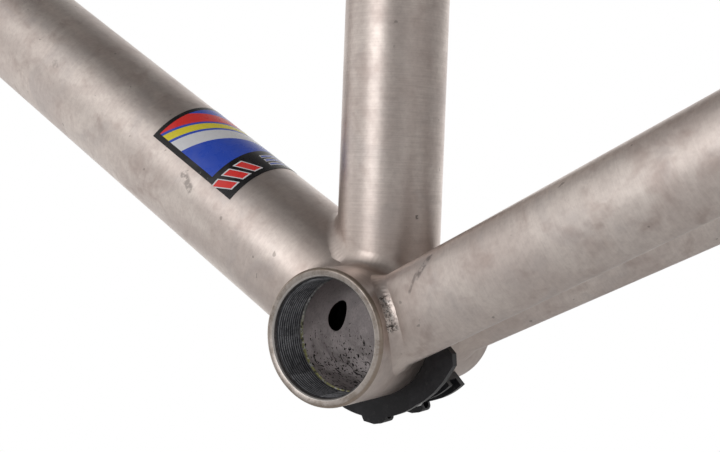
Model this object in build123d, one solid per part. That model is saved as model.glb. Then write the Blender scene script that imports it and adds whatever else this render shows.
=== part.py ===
from build123d import *
from math import atan2, cos, degrees, radians, sin
import os

# Welded titanium road bicycle frame, in millimetres.
# The origin is the centre of the bottom bracket shell.
# +X points to the front wheel, +Y to the rider's left and +Z up.

# Bottom bracket shell, 68 mm wide for a 1.37 inch x 24 thread
SHELL_WIDTH = 68.0
SHELL_RADIUS = 20.0
SHELL_BORE_RADIUS = 16.85
MOUTH_RADIUS = 17.75
MOUTH_DEPTH = 0.9
RIM_CHAMFER = 0.5
VENT_RADIUS = 5.0
VENT_ANGLE = 26.0
VENT_Y = 2.1

# Tube angles from the horizontal, in degrees
SEAT_ANGLE = 73.0
HEAD_ANGLE = 73.0
DOWN_ANGLE = 47.56

# Tubes: outer radius and wall
SEAT_RADIUS = 15.9
SEAT_WALL = 0.9
DOWN_RADIUS = 20.65
DOWN_WALL = 0.9
TOP_RADIUS = 14.3
TOP_WALL = 0.9
HEAD_RADIUS = 23.5
HEAD_BORE_RADIUS = 21.98
HEAD_LENGTH = 160.0
HEAD_CHAMFER = 0.6

# Frame size
STACK = 575.0
REACH = 390.0
SEAT_TUBE_LENGTH = 538.0
TOP_TUBE_AT_SEAT = 500.0
TOP_TUBE_BELOW_HEAD_TOP = 35.0
DOWN_TUBE_START = 4.0

# Seatpost sleeve, 27.2 mm bore
SLEEVE_RADIUS = 14.97
POST_RADIUS = 13.6
SLEEVE_LENGTH = 80.0
SLOT_WIDTH = 3.0
SLOT_LENGTH = 32.0

# Seat collar
COLLAR_INNER = 15.95
COLLAR_OUTER = 19.6
COLLAR_HEIGHT = 14.0
EAR_REACH = 30.5
EAR_Y = 7.5
COLLAR_BOLT_X = 25.0

# Chainstays: oval at the shell, round further back, tapered at the end
CHAINSTAY_Y = 18.0
CHAINSTAY_Z = -2.78
CHAINSTAY_RISE = 10.6
CHAINSTAY_TOE = 6.8
CHAINSTAY_HALF_HEIGHT = 13.07
CHAINSTAY_HALF_WIDTH = 8.1
CHAINSTAY_ROUND_RADIUS = 11.1
CHAINSTAY_END_RADIUS = 8.0
CHAINSTAY_OVAL_END = 165.0
CHAINSTAY_ROUND_START = 250.0
CHAINSTAY_LENGTH = 372.0
STAY_WALL = 0.9

# Rear axle and dropouts
AXLE_X = -405.0
AXLE_Z = 73.0
DROPOUT_INNER_Y = 65.0
DROPOUT_THICKNESS = 6.0
AXLE_SLOT = 10.2
HANGER_X = -420.0
HANGER_Z = 45.0
HANGER_THREAD_RADIUS = 4.55
STUB_LENGTH = 10.0

# Seatstays
SEATSTAY_RADIUS = 7.0
SEATSTAY_AT_SEAT = 478.0
SEATSTAY_TOP_Y = 8.0
SEATSTAY_END_Y = 66.0
SEATSTAY_END_FROM_AXLE = 45.0

# Bridges
BRAKE_BRIDGE_FROM_AXLE = 358.0
BRAKE_BRIDGE_RADIUS = 7.0
BRAKE_BOSS_RADIUS = 7.5
BRAKE_BOSS_HALF = 9.0
BRAKE_BOLT_RADIUS = 3.1
BRAKE_NUT_RADIUS = 4.1
BRAKE_NUT_DEPTH = 11.0
STAY_BRIDGE_S = 54.0
STAY_BRIDGE_RADIUS = 5.0

# Moulded cable guide under the shell
GUIDE_NEAR_Y = 8.0
GUIDE_FAR_Y = -20.0
GUIDE_WALL = 2.6
GUIDE_BASE_RADIUS = 22.4
GUIDE_NEAR_RADIUS = 26.4
GUIDE_FAR_RADIUS = 25.2
GUIDE_FRONT_ANGLE = -52.0
GUIDE_ROUND_END = -112.0
GUIDE_NEAR_REAR_ANGLE = -157.8
GUIDE_FLARE = [
    (-12.3, -23.9),
    (-16.3, -22.1),
    (-20.1, -19.7),
    (-24.8, -15.6),
    (-25.5, -12.2),
    (-24.2, -9.9),
]
GUIDE_FAR_REAR_ANGLE = -118.5
GUIDE_GAP = 0.05
GUIDE_SCREW_Y = -6.0
GUIDE_PAD_RADIUS = 22.9
GUIDE_RIBS = (-0.2, -11.8)
GUIDE_RIB_WIDTH = 2.0
GUIDE_RIB_RADIUS = 24.4
GUIDE_FOOT_WIDTH = 5.4
GUIDE_HOLE_Z = -25.6
GUIDE_HOLE_RADIUS = 1.5

# Small fittings
BOSS_THREAD_RADIUS = 2.1
BOSS_STEM_RADIUS = 3.4
BOSS_FLANGE_RADIUS = 4.6
BOSS_SPACING = 64.0
DOWN_BOSS_S = 240.0
SEAT_BOSS_S = 190.0
FIT_GAP = 0.05
MOVE_GAP = 0.35

# Gear cable adjusters on the down tube
SHIFTER_S = 470.0
STOP_INNER_Y = 23.0
STOP_OUTER_Y = 34.0
ADJUSTER_Y = 28.5
ADJUSTER_V = -11.0
BARREL_RADIUS = 2.5
KNOB_RADIUS = 5.2
KNOB_LENGTH = 8.0

# Decal on the down tube
DECAL_START = 60.5
DECAL_END = 100.0
DECAL_LOW_ANGLE = 23.0
DECAL_THICKNESS = 0.12


def flat_direction(angle):
    """Unit vector in the frame's middle plane, at an angle above +X."""
    return Vector(cos(radians(angle)), 0, sin(radians(angle)))


def rod(start, end, radius):
    """Solid cylinder between two points."""
    span = Vector(*end) - Vector(*start)
    plane = Plane(origin=Vector(*start), z_dir=span)
    return Solid.make_cylinder(radius, span.length, plane)


def pipe(start, end, radius, wall):
    """Hollow round tube between two points."""
    return rod(start, end, radius) - rod(start, end, radius - wall)


def turned(points, origin, axis):
    """Solid of revolution from (radius, distance along the axis) points."""
    outline = Plane.XZ * Polygon(*points, align=None)
    plane = Plane(origin=Vector(*origin), z_dir=Vector(*axis))
    return plane * revolve(outline, Axis.Z)


def hex_prism(start, end, across_flats):
    """Solid hexagon bar between two points."""
    span = Vector(*end) - Vector(*start)
    plane = Plane(origin=Vector(*start), z_dir=span)
    outline = plane * RegularPolygon(across_flats / 2, 6, major_radius=False)
    return extrude(outline, span.length)


def meet(p, d, q, e):
    """Point where two lines of the frame's middle plane cross."""
    determinant = d.Z * e.X - d.X * e.Z
    reach = (e.X * (q.Z - p.Z) - e.Z * (q.X - p.X)) / determinant
    return p + d * reach


def mirror_y(shape):
    """The same shape on the other side of the bicycle."""
    return mirror(shape, Plane.XZ)


def shell_sector(y_low, y_high, r_low, r_high, front_angle, rear_angle):
    """Part of a ring round the shell's axis, between two angles from +X towards +Z."""
    corners = [(r_low, y_low), (r_high, y_low), (r_high, y_high), (r_low, y_high)]
    ring = revolve(Polygon(*corners, align=None), Axis.Y, front_angle - rear_angle)
    return Rot(0, -front_angle, 0) * ring


def save(shape, name):
    """Write one node, named like its file."""
    solids = shape.solids()
    node = solids[0] if len(solids) == 1 else Compound(children=solids)
    node.label = name
    export_step(node, "parts/" + name + ".step")


os.makedirs("parts", exist_ok=True)

origin = Vector(0, 0, 0)
left = Vector(0, 1, 0)
seat_up = flat_direction(180 - SEAT_ANGLE)
seat_front = flat_direction(90 - SEAT_ANGLE)
head_up = flat_direction(180 - HEAD_ANGLE)
down_way = flat_direction(DOWN_ANGLE)
down_over = flat_direction(DOWN_ANGLE + 90)
head_top = Vector(REACH, 0, STACK)
head_bottom = head_top - head_up * HEAD_LENGTH
down_end = meet(origin, down_way, head_bottom, head_up)
seat_top = seat_up * SEAT_TUBE_LENGTH
top_rear = seat_up * TOP_TUBE_AT_SEAT
top_front = head_top - head_up * TOP_TUBE_BELOW_HEAD_TOP
axle = Vector(AXLE_X, 0, AXLE_Z)

# Plain solids that trim the tubes where they are welded together
half_shell = SHELL_WIDTH / 2
shell_core = rod((0, -half_shell, 0), (0, half_shell, 0), SHELL_RADIUS)
seat_core = rod(origin, seat_top, SEAT_RADIUS)
head_core = rod(head_bottom, head_top, HEAD_RADIUS)
down_core = rod(origin, down_end, DOWN_RADIUS)
top_core = rod(top_rear, top_front, TOP_RADIUS)

# Bottom bracket shell with a vent into the down tube and a hole for the guide's screw
shell = turned(
    [
        (SHELL_BORE_RADIUS, MOUTH_DEPTH - half_shell),
        (MOUTH_RADIUS, -half_shell),
        (SHELL_RADIUS - RIM_CHAMFER, -half_shell),
        (SHELL_RADIUS, RIM_CHAMFER - half_shell),
        (SHELL_RADIUS, half_shell - RIM_CHAMFER),
        (SHELL_RADIUS - RIM_CHAMFER, half_shell),
        (MOUTH_RADIUS, half_shell),
        (SHELL_BORE_RADIUS, half_shell - MOUTH_DEPTH),
    ],
    origin,
    left,
)
vent_way = flat_direction(VENT_ANGLE)
vent_centre = Vector(0, VENT_Y, 0)
shell -= rod(vent_centre, vent_centre + vent_way * 25, VENT_RADIUS)
screw_top = Vector(0, GUIDE_SCREW_Y, 0)
shell -= rod(screw_top, screw_top - Vector(0, 0, 25), 2.5)
save(shell, "bottom_bracket_shell")

# Seat tube, slotted at the top rear, with a sleeve that reduces it to the seatpost
slot_plane = Plane(origin=seat_top, x_dir=seat_front, z_dir=seat_up)
slot_box = Box(20, SLOT_WIDTH, 2 * SLOT_LENGTH, align=(Align.MAX, Align.CENTER, Align.CENTER))
seat_slot = slot_plane * slot_box
seat_slot += rod(
    seat_top - seat_up * SLOT_LENGTH - seat_front * 20,
    seat_top - seat_up * SLOT_LENGTH,
    SLOT_WIDTH,
)
seat_boss_centres = [seat_up * SEAT_BOSS_S, seat_up * (SEAT_BOSS_S + BOSS_SPACING)]
down_boss_centres = [down_way * DOWN_BOSS_S, down_way * (DOWN_BOSS_S + BOSS_SPACING)]
seat_tube = pipe(origin, seat_top, SEAT_RADIUS, SEAT_WALL) - shell_core - seat_slot
for centre in seat_boss_centres:
    seat_tube -= rod(centre, centre + seat_front * 25, BOSS_STEM_RADIUS + FIT_GAP)
save(seat_tube, "seat_tube")
sleeve_foot = seat_top - seat_up * SLEEVE_LENGTH
sleeve = rod(sleeve_foot, seat_top, SLEEVE_RADIUS) - rod(sleeve_foot, seat_top, POST_RADIUS)
save(sleeve - seat_slot, "seatpost_sleeve")

# Seat collar with two ears drawn together by a bolt across the back
collar_plane = Plane(origin=seat_top - seat_up * COLLAR_HEIGHT, x_dir=seat_front, z_dir=seat_up)
ears = Pos(-17, 0, 1) * Box(
    EAR_REACH - 17,
    2 * EAR_Y,
    COLLAR_HEIGHT - 2,
    align=(Align.MAX, Align.CENTER, Align.MIN),
)
ears = fillet(ears.edges().filter_by(Axis.Y).group_by(Axis.X)[0], 4.0)
collar = Cylinder(COLLAR_OUTER, COLLAR_HEIGHT, align=(Align.CENTER, Align.CENTER, Align.MIN))
collar = chamfer(collar.edges().filter_by(GeomType.CIRCLE), 0.5) + ears
collar -= Cylinder(COLLAR_INNER, 3 * COLLAR_HEIGHT)
collar -= Box(60, SLOT_WIDTH, 60, align=(Align.MAX, Align.CENTER, Align.CENTER))
bolt_z = COLLAR_HEIGHT / 2
collar -= rod((-COLLAR_BOLT_X, 0, bolt_z), (-COLLAR_BOLT_X, 20, bolt_z), 2.75)
collar -= rod((-COLLAR_BOLT_X, 0, bolt_z), (-COLLAR_BOLT_X, -20, bolt_z), 2.5 + FIT_GAP)
save(collar_plane * collar, "seat_collar")
bolt = rod((-COLLAR_BOLT_X, -EAR_Y, bolt_z), (-COLLAR_BOLT_X, EAR_Y + 1, bolt_z), 2.5)
head = rod((-COLLAR_BOLT_X, EAR_Y, bolt_z), (-COLLAR_BOLT_X, EAR_Y + 5, bolt_z), 4.25)
bolt += chamfer(head.edges().group_by(Axis.Y)[-1], 0.5)
bolt -= hex_prism((-COLLAR_BOLT_X, EAR_Y + 2.4, bolt_z), (-COLLAR_BOLT_X, EAR_Y + 6, bolt_z), 4)
save(collar_plane * bolt, "seat_collar_bolt")

# Head tube
head_tube = turned(
    [
        (HEAD_BORE_RADIUS, 0),
        (HEAD_RADIUS - HEAD_CHAMFER, 0),
        (HEAD_RADIUS, HEAD_CHAMFER),
        (HEAD_RADIUS, HEAD_LENGTH - HEAD_CHAMFER),
        (HEAD_RADIUS - HEAD_CHAMFER, HEAD_LENGTH),
        (HEAD_BORE_RADIUS, HEAD_LENGTH),
    ],
    head_bottom,
    head_up,
)
save(head_tube, "head_tube")

# Down tube and top tube, trimmed round the tubes that they meet
down_start = down_way * DOWN_TUBE_START
down_tube = pipe(down_start, down_end, DOWN_RADIUS, DOWN_WALL)
down_tube = down_tube - shell_core - seat_core - head_core
for centre in down_boss_centres:
    down_tube -= rod(centre, centre + down_over * 25, BOSS_STEM_RADIUS + FIT_GAP)
save(down_tube, "down_tube")
top_tube = pipe(top_rear, top_front, TOP_RADIUS, TOP_WALL) - seat_core - head_core
save(top_tube, "top_tube")

# Threaded bottle bosses, two on the down tube and two on the seat tube
bottle_bosses = []
for centres, normal, radius, core in (
    (down_boss_centres, down_over, DOWN_RADIUS, down_core),
    (seat_boss_centres, seat_front, SEAT_RADIUS, seat_core),
):
    for centre in centres:
        face = centre + normal * (radius + 1.2)
        flange = rod(centre + normal * (radius - 2), face, BOSS_FLANGE_RADIUS) - core
        stem = rod(centre + normal * (radius - 8), face, BOSS_STEM_RADIUS)
        boss = flange + stem - rod(centre, face + normal, BOSS_THREAD_RADIUS)
        bottle_bosses.extend(boss.solids())
save(Compound(children=bottle_bosses), "bottle_bosses")

# Chainstays
rise = radians(CHAINSTAY_RISE)
toe = radians(CHAINSTAY_TOE)
stay_root = Vector(0, CHAINSTAY_Y, CHAINSTAY_Z)
stay_way = Vector(-cos(rise) * cos(toe), sin(toe), sin(rise) * cos(toe))
stay_up = Vector(sin(rise), 0, cos(rise))


def stay_section(distance, half_height, half_width):
    """Oval across the left chainstay, taller than it is wide."""
    plane = Plane(origin=stay_root + stay_way * distance, x_dir=stay_up, z_dir=stay_way)
    return plane * Ellipse(half_height, half_width)


def stay_solid(inset):
    """Solid left chainstay, with every section made smaller by the inset."""
    oval = (CHAINSTAY_HALF_HEIGHT - inset, CHAINSTAY_HALF_WIDTH - inset)
    middle = (CHAINSTAY_ROUND_RADIUS - inset, CHAINSTAY_ROUND_RADIUS - inset - 0.01)
    end = (CHAINSTAY_END_RADIUS - inset, CHAINSTAY_END_RADIUS - inset - 0.01)
    root = extrude(stay_section(0, *oval), CHAINSTAY_OVAL_END, dir=stay_way)
    oval_end = stay_section(CHAINSTAY_OVAL_END, *oval)
    round_start = stay_section(CHAINSTAY_ROUND_START, *middle)
    waist = loft([oval_end, round_start])
    tail = loft([round_start, stay_section(CHAINSTAY_LENGTH, *end)])
    return root + waist + tail


stay_core = stay_solid(0)
chainstay = stay_core - stay_solid(STAY_WALL) - shell_core - seat_core
save(chainstay, "chainstay_left")
save(mirror_y(chainstay), "chainstay_right")

# Seatstays, from the seat tube towards the rear axle
seatstay_top_flat = seat_up * SEATSTAY_AT_SEAT
axle_to_top = seatstay_top_flat - axle
seatstay_flat_length = axle_to_top.length
seatstay_flat = axle_to_top.normalized()
seatstay_top = seatstay_top_flat + left * SEATSTAY_TOP_Y
seatstay_end = axle + seatstay_flat * SEATSTAY_END_FROM_AXLE + left * SEATSTAY_END_Y
seatstay = pipe(seatstay_end, seatstay_top, SEATSTAY_RADIUS, STAY_WALL) - seat_core
seatstay_core = rod(seatstay_end, seatstay_top, SEATSTAY_RADIUS)
seatstay_way = (seatstay_end - seatstay_top).normalized()
save(seatstay, "seatstay_left")
save(mirror_y(seatstay), "seatstay_right")


def plate(outline):
    """Flat plate of the left dropout from an outline in the side view."""
    face = Plane(origin=(0, DROPOUT_INNER_Y, 0), x_dir=(1, 0, 0), z_dir=(0, -1, 0)) * outline
    return extrude(face, -DROPOUT_THICKNESS)


def arm(x1, z1, x2, z2, width):
    """Straight strip of a plate between two points of the side view."""
    start = Vector(x1, z1)
    end = Vector(x2, z2)
    middle = (start + end) / 2
    span = end - start
    angle = degrees(atan2(span.Y, span.X))
    return Pos(middle.X, middle.Y) * Rot(0, 0, angle) * Rectangle(span.length, width)


# Dropouts: a plate with a slot for the axle and a round stub for each stay
stay_end = stay_root + stay_way * CHAINSTAY_LENGTH
stub_end = stay_end + stay_way * STUB_LENGTH
seat_stub_end = seatstay_end + seatstay_way * STUB_LENGTH
outline = Pos(AXLE_X, AXLE_Z) * Circle(17)
outline += arm(AXLE_X, AXLE_Z, stub_end.X + 3, stub_end.Z, 14)
outline += arm(AXLE_X, AXLE_Z, seat_stub_end.X + 2, seat_stub_end.Z + 3, 12)
axle_slot = Pos(AXLE_X, AXLE_Z) * Circle(AXLE_SLOT / 2)
axle_slot += Pos(AXLE_X, AXLE_Z - 20) * Rectangle(AXLE_SLOT, 40)
stubs = rod(stay_end, stub_end, CHAINSTAY_END_RADIUS)
stubs += rod(seatstay_end, seat_stub_end, SEATSTAY_RADIUS)
dropout = plate(outline - axle_slot) + stubs
save(dropout, "dropout_left")
hanger = arm(AXLE_X - 11, AXLE_Z - 4, HANGER_X - 1, HANGER_Z, 12)
hanger += Pos(HANGER_X, HANGER_Z) * Circle(9.5)
hanger_outline = outline + hanger - axle_slot
hanger_outline -= Pos(HANGER_X, HANGER_Z) * Circle(HANGER_THREAD_RADIUS)
save(mirror_y(plate(hanger_outline) + stubs), "dropout_right")

# Bridge between the chainstays, behind the shell
bridge_centre = stay_root + stay_way * STAY_BRIDGE_S
bridge_mirror = Vector(bridge_centre.X, -bridge_centre.Y, bridge_centre.Z)
stay_bridge = pipe(bridge_mirror, bridge_centre, STAY_BRIDGE_RADIUS, STAY_WALL)
stay_bridge = stay_bridge - stay_core - mirror_y(stay_core)
save(stay_bridge.solids().sort_by(SortBy.VOLUME)[-1], "chainstay_bridge")

# Brake bridge between the seatstays, with a cross boss for the brake bolt
bridge_run = BRAKE_BRIDGE_FROM_AXLE - SEATSTAY_END_FROM_AXLE
share = bridge_run / (seatstay_flat_length - SEATSTAY_END_FROM_AXLE)
brake_y = SEATSTAY_END_Y + (SEATSTAY_TOP_Y - SEATSTAY_END_Y) * share
brake_centre = axle + seatstay_flat * BRAKE_BRIDGE_FROM_AXLE
brake_rear = Vector(-seatstay_flat.Z, 0, seatstay_flat.X)
boss_rear = brake_centre + brake_rear * BRAKE_BOSS_HALF
boss_front = brake_centre - brake_rear * BRAKE_BOSS_HALF
boss_core = rod(boss_front, boss_rear, BRAKE_BOSS_RADIUS)
brake_boss = boss_core - rod(boss_front - brake_rear, boss_rear + brake_rear, BRAKE_BOLT_RADIUS)
brake_boss -= rod(boss_front - brake_rear, boss_front + brake_rear * BRAKE_NUT_DEPTH, BRAKE_NUT_RADIUS)
save(brake_boss, "brake_bolt_boss")
bridge_left = brake_centre + left * brake_y
bridge_right = brake_centre - left * brake_y
brake_bridge = pipe(bridge_right, bridge_left, BRAKE_BRIDGE_RADIUS, STAY_WALL)
brake_bridge = brake_bridge - seatstay_core - mirror_y(seatstay_core) - boss_core
bridge_halves = brake_bridge.solids().sort_by(SortBy.VOLUME)[-2:]
save(Compound(children=list(bridge_halves)), "brake_bridge")

# Cable guide: a moulded saddle with a wall on each side and a foot below each wall
guide_inner = SHELL_RADIUS + GUIDE_GAP
far_front = GUIDE_FRONT_ANGLE - 8
far_arc = (far_front, GUIDE_FAR_REAR_ANGLE)
near_wall = GUIDE_NEAR_Y - GUIDE_WALL
far_wall = GUIDE_FAR_Y + GUIDE_WALL
base_arc = (GUIDE_FRONT_ANGLE, GUIDE_FAR_REAR_ANGLE)
guide = shell_sector(-9, GUIDE_NEAR_Y, guide_inner, GUIDE_BASE_RADIUS, *base_arc)
guide += shell_sector(GUIDE_FAR_Y, -9, guide_inner, GUIDE_BASE_RADIUS, *far_arc)
# The near wall follows the round in front and flares out towards the chainstay at the back
wall_plane = Plane(origin=(0, near_wall, 0), x_dir=(1, 0, 0), z_dir=(0, -1, 0))
wall_sweep = GUIDE_FRONT_ANGLE - GUIDE_NEAR_REAR_ANGLE
wall_round = CenterArc((0, 0), GUIDE_NEAR_RADIUS, GUIDE_ROUND_END, GUIDE_FRONT_ANGLE - GUIDE_ROUND_END)
wall_seat = CenterArc((0, 0), guide_inner, GUIDE_NEAR_REAR_ANGLE, wall_sweep)
wall_flare = Polyline(wall_round @ 0, *GUIDE_FLARE, wall_seat @ 0)
wall_front = Line(wall_round @ 1, wall_seat @ 1)
wall = make_face([wall_round, wall_seat, wall_flare, wall_front])
guide += extrude(wall_plane * wall, -GUIDE_WALL)
guide += shell_sector(GUIDE_FAR_Y, far_wall, guide_inner, GUIDE_FAR_RADIUS, *far_arc)
for rib_y in GUIDE_RIBS:
    rib_low = rib_y - GUIDE_RIB_WIDTH / 2
    rib_high = rib_y + GUIDE_RIB_WIDTH / 2
    guide += shell_sector(rib_low, rib_high, guide_inner, GUIDE_RIB_RADIUS, *far_arc)
inner_core = rod((0, -30, 0), (0, 30, 0), guide_inner)
for foot_y in (GUIDE_NEAR_Y - GUIDE_FOOT_WIDTH, GUIDE_FAR_Y):
    foot = Polygon((2, -22), (2, -28), (6.2, -27.7), (9.6, -26.2), (10.5, -22), align=None)
    foot_plane = Plane(origin=(0, foot_y, 0), x_dir=(1, 0, 0), z_dir=(0, -1, 0))
    block = extrude(foot_plane * foot, -GUIDE_FOOT_WIDTH)
    block = fillet(block.edges().filter_by(Axis.Y).group_by(Axis.Z)[0], 1.6)
    hole_y = foot_y + GUIDE_FOOT_WIDTH / 2
    block -= rod((-3, hole_y, GUIDE_HOLE_Z), (14, hole_y, GUIDE_HOLE_Z), GUIDE_HOLE_RADIUS)
    guide += block - inner_core
pad_top = (0, GUIDE_SCREW_Y, -SHELL_RADIUS + 1)
pad_face = (0, GUIDE_SCREW_Y, -GUIDE_PAD_RADIUS)
guide += rod(pad_top, pad_face, 6.0) - inner_core
guide -= rod((0, GUIDE_SCREW_Y, 0), (0, GUIDE_SCREW_Y, -40), 2.75)
guide -= rod(pad_face, (0, GUIDE_SCREW_Y, -40), 4.6)
save(guide, "cable_guide")
screw = turned(
    [
        (0, 17.2),
        (2.45, 17.2),
        (2.45, GUIDE_PAD_RADIUS),
        (4.3, GUIDE_PAD_RADIUS),
        (4.3, GUIDE_PAD_RADIUS + 0.7),
        (2.6, GUIDE_PAD_RADIUS + 2.6),
        (0, GUIDE_PAD_RADIUS + 2.6),
    ],
    (0, GUIDE_SCREW_Y, 0),
    (0, 0, -1),
)
screw -= hex_prism((0, GUIDE_SCREW_Y, -24), (0, GUIDE_SCREW_Y, -26), 3)
save(screw, "cable_guide_screw")

# Gear cable adjusters, one on each side of the down tube.
# Each has a boss, a stop with two lugs, a captive knob and a barrel that slides.
stop_frame = Plane(origin=down_way * SHIFTER_S, x_dir=down_way, z_dir=left)


def side_rod(v, y, start, end, radius):
    """Cylinder along the down tube beside it, in the adjuster's own frame."""
    return rod((start, v, y), (end, v, y), radius)


shifter_boss = rod((0, 0, 17), (0, 0, STOP_INNER_Y), 7.5)
shifter_boss += rod((0, 0, STOP_INNER_Y - 1), (0, 0, STOP_INNER_Y + 6), 4.0)
shifter_boss -= rod((0, 0, STOP_INNER_Y - 2), (0, 0, STOP_INNER_Y + 7), BOSS_THREAD_RADIUS + 0.4)
shifter_boss = stop_frame * shifter_boss - down_core
save(Compound(children=[*shifter_boss.solids(), *mirror_y(shifter_boss).solids()]), "shifter_bosses")

stop_depth = STOP_OUTER_Y - STOP_INNER_Y
lug = KNOB_LENGTH / 2 + MOVE_GAP
stop_foot = Pos(0, 0, STOP_INNER_Y + FIT_GAP)
upright = (Align.CENTER, Align.CENTER, Align.MIN)
stop = stop_foot * Cylinder(8.5, stop_depth, align=upright)
lugs = stop_foot * Pos(0, ADJUSTER_V + 3.5, 0) * Box(2 * lug + 7, 15, stop_depth, align=upright)
stop += fillet(lugs.edges().filter_by(Axis.Z).group_by(Axis.Y)[0], 3.0)
stop -= Pos(0, ADJUSTER_V - 1.5, ADJUSTER_Y) * Box(2 * lug, 2 * KNOB_RADIUS + 4, 30)
stop -= rod((0, 0, STOP_INNER_Y), (0, 0, STOP_INNER_Y + 6 + 2 * FIT_GAP), 4.0 + FIT_GAP)
stop -= rod((0, 0, STOP_INNER_Y), (0, 0, 40), 2.75)
stop -= side_rod(ADJUSTER_V, ADJUSTER_Y, -20, 20, BARREL_RADIUS + FIT_GAP)
stop = stop_frame * stop
save(stop, "cable_stop_left")
save(mirror_y(stop), "cable_stop_right")

stop_bolt = rod((0, 0, STOP_INNER_Y + 1), (0, 0, STOP_OUTER_Y + 0.5), 2.45)
stop_bolt += rod((0, 0, STOP_OUTER_Y + FIT_GAP), (0, 0, STOP_OUTER_Y + 3), 4.3)
stop_bolt -= hex_prism((0, 0, STOP_OUTER_Y + 1), (0, 0, STOP_OUTER_Y + 4), 3)
stop_bolt = stop_frame * stop_bolt
save(Compound(children=[stop_bolt, mirror_y(stop_bolt)]), "cable_stop_bolts")

knob = side_rod(ADJUSTER_V, ADJUSTER_Y, -KNOB_LENGTH / 2, KNOB_LENGTH / 2, KNOB_RADIUS)
for turn in range(12):
    angle = radians(30 * turn)
    groove_v = ADJUSTER_V + KNOB_RADIUS * cos(angle)
    groove_y = ADJUSTER_Y + KNOB_RADIUS * sin(angle)
    knob -= side_rod(groove_v, groove_y, -KNOB_LENGTH, KNOB_LENGTH, 0.6)
knob -= side_rod(ADJUSTER_V, ADJUSTER_Y, -KNOB_LENGTH, KNOB_LENGTH, BARREL_RADIUS + FIT_GAP)
knob = stop_frame * knob
save(knob, "adjuster_knob_left")
save(mirror_y(knob), "adjuster_knob_right")

cup_start = lug + 3.5 + MOVE_GAP
barrel = side_rod(ADJUSTER_V, ADJUSTER_Y, -cup_start - 12, cup_start + 1, BARREL_RADIUS)
barrel += side_rod(ADJUSTER_V, ADJUSTER_Y, cup_start, cup_start + 10, 3.6)
barrel -= side_rod(ADJUSTER_V, ADJUSTER_Y, cup_start + 2, cup_start + 11, 2.6)
barrel -= side_rod(ADJUSTER_V, ADJUSTER_Y, -40, 40, 1.1)
barrel = stop_frame * barrel
save(barrel, "adjuster_barrel_left")
save(mirror_y(barrel), "adjuster_barrel_right")


def housing_stop(start, way, radius, core):
    """Slotted stop for a cable housing, welded along a tube."""
    body = rod(start, start + way * 12, radius) - core
    body -= rod(start + way * 3, start + way * 13, 2.6)
    return body - rod(start - way, start + way * 13, 1.1)


# Brake cable stops under the top tube and a derailleur cable stop under the right chainstay
top_way = (top_front - top_rear).normalized()
top_under = Vector(top_way.Z, 0, -top_way.X)
brake_stops = []
for distance, way in ((110, -1), (440, 1)):
    start = top_rear + top_way * distance + top_under * (TOP_RADIUS + 3.4)
    brake_stops.extend(housing_stop(start, top_way * way, 4.2, top_core).solids())
save(Compound(children=brake_stops), "brake_cable_stops")
stop_start = stay_root + stay_way * 300 - stay_up * (CHAINSTAY_END_RADIUS + 5.2)
rear_stop = housing_stop(stop_start, stay_way, 4.2, stay_core)
save(mirror_y(rear_stop), "derailleur_cable_stop")

# Decal, a thin film over the top of the down tube
decal_plane = Plane(origin=down_way * DECAL_START, x_dir=left, z_dir=down_way)
decal_span = 180 - 2 * DECAL_LOW_ANGLE
decal_height = DECAL_END - DECAL_START
film_inner = DOWN_RADIUS + FIT_GAP / 5
film = Solid.make_cylinder(film_inner + DECAL_THICKNESS, decal_height, Plane.XY, decal_span)
film -= Cylinder(film_inner, 3 * decal_height)
save(decal_plane * (Rot(0, 0, DECAL_LOW_ANGLE) * film), "down_tube_decal")
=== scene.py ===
import math

import bpy
import numpy as np
from mathutils import Matrix, Vector


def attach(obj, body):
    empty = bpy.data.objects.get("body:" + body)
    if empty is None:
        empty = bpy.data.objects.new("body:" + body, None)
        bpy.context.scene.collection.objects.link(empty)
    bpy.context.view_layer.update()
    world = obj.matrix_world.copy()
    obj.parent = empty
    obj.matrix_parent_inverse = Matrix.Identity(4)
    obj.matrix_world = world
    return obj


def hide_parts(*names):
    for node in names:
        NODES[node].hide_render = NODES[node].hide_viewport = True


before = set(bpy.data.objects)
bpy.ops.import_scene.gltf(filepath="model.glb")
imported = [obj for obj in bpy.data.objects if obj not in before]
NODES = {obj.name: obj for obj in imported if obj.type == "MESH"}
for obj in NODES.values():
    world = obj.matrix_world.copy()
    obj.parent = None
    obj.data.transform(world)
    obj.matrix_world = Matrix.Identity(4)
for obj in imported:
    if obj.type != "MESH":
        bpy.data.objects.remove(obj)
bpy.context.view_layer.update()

MM = 0.001

# ---------------------------------------------------------------- sizes, as in the CAD, in mm
SHELL_R = 20.0
SHELL_HALF = 34.0
BORE_R = 16.85
MOUTH_R = 17.75
THREAD_PITCH = 1.058
THREAD_DEPTH = 0.5
THREAD_LENGTH = 12.6
SEAT_R, SEAT_ANGLE = 15.9, 73.0
DOWN_R, DOWN_ANGLE, DOWN_START, DOWN_MEET = 20.65, 47.56, 4.0, 628.3
TOP_R, HEAD_R = 14.3, 23.5
TOP_JOINS_SEAT, TOP_JOINS_HEAD = 500.0, 35.0
SEATSTAY_JOINS_SEAT, SEATSTAY_END_GAP = 478.0, 45.0
SEATSTAY_TOP_Y, SEATSTAY_FOOT_Y = 8.0, 66.0
STAY_Y, STAY_Z, STAY_RISE, STAY_TOE = 18.0, -2.78, 10.6, 6.8
STAY_A, STAY_B = 13.07, 8.1
VENT_ANGLE, VENT_Y, VENT_R = 26.0, 2.1, 5.0
SCREW_Y, SCREW_HOLE_R = -6.0, 2.5
FLOOR_R, FLOOR_Z = 1900.0, -360.0
SEATSTAY_R, BRAKE_BRIDGE_AT = 7.0, 358.0
STAY_BRIDGE_R, STAY_BRIDGE_AT = 5.0, 54.0
SHIFTER_R, SHIFTER_AT = 7.5, 470.0
BOSS_R, BOSS_GAP, DOWN_BOSS_AT, SEAT_BOSS_AT = 4.6, 64.0, 240.0, 190.0
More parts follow.
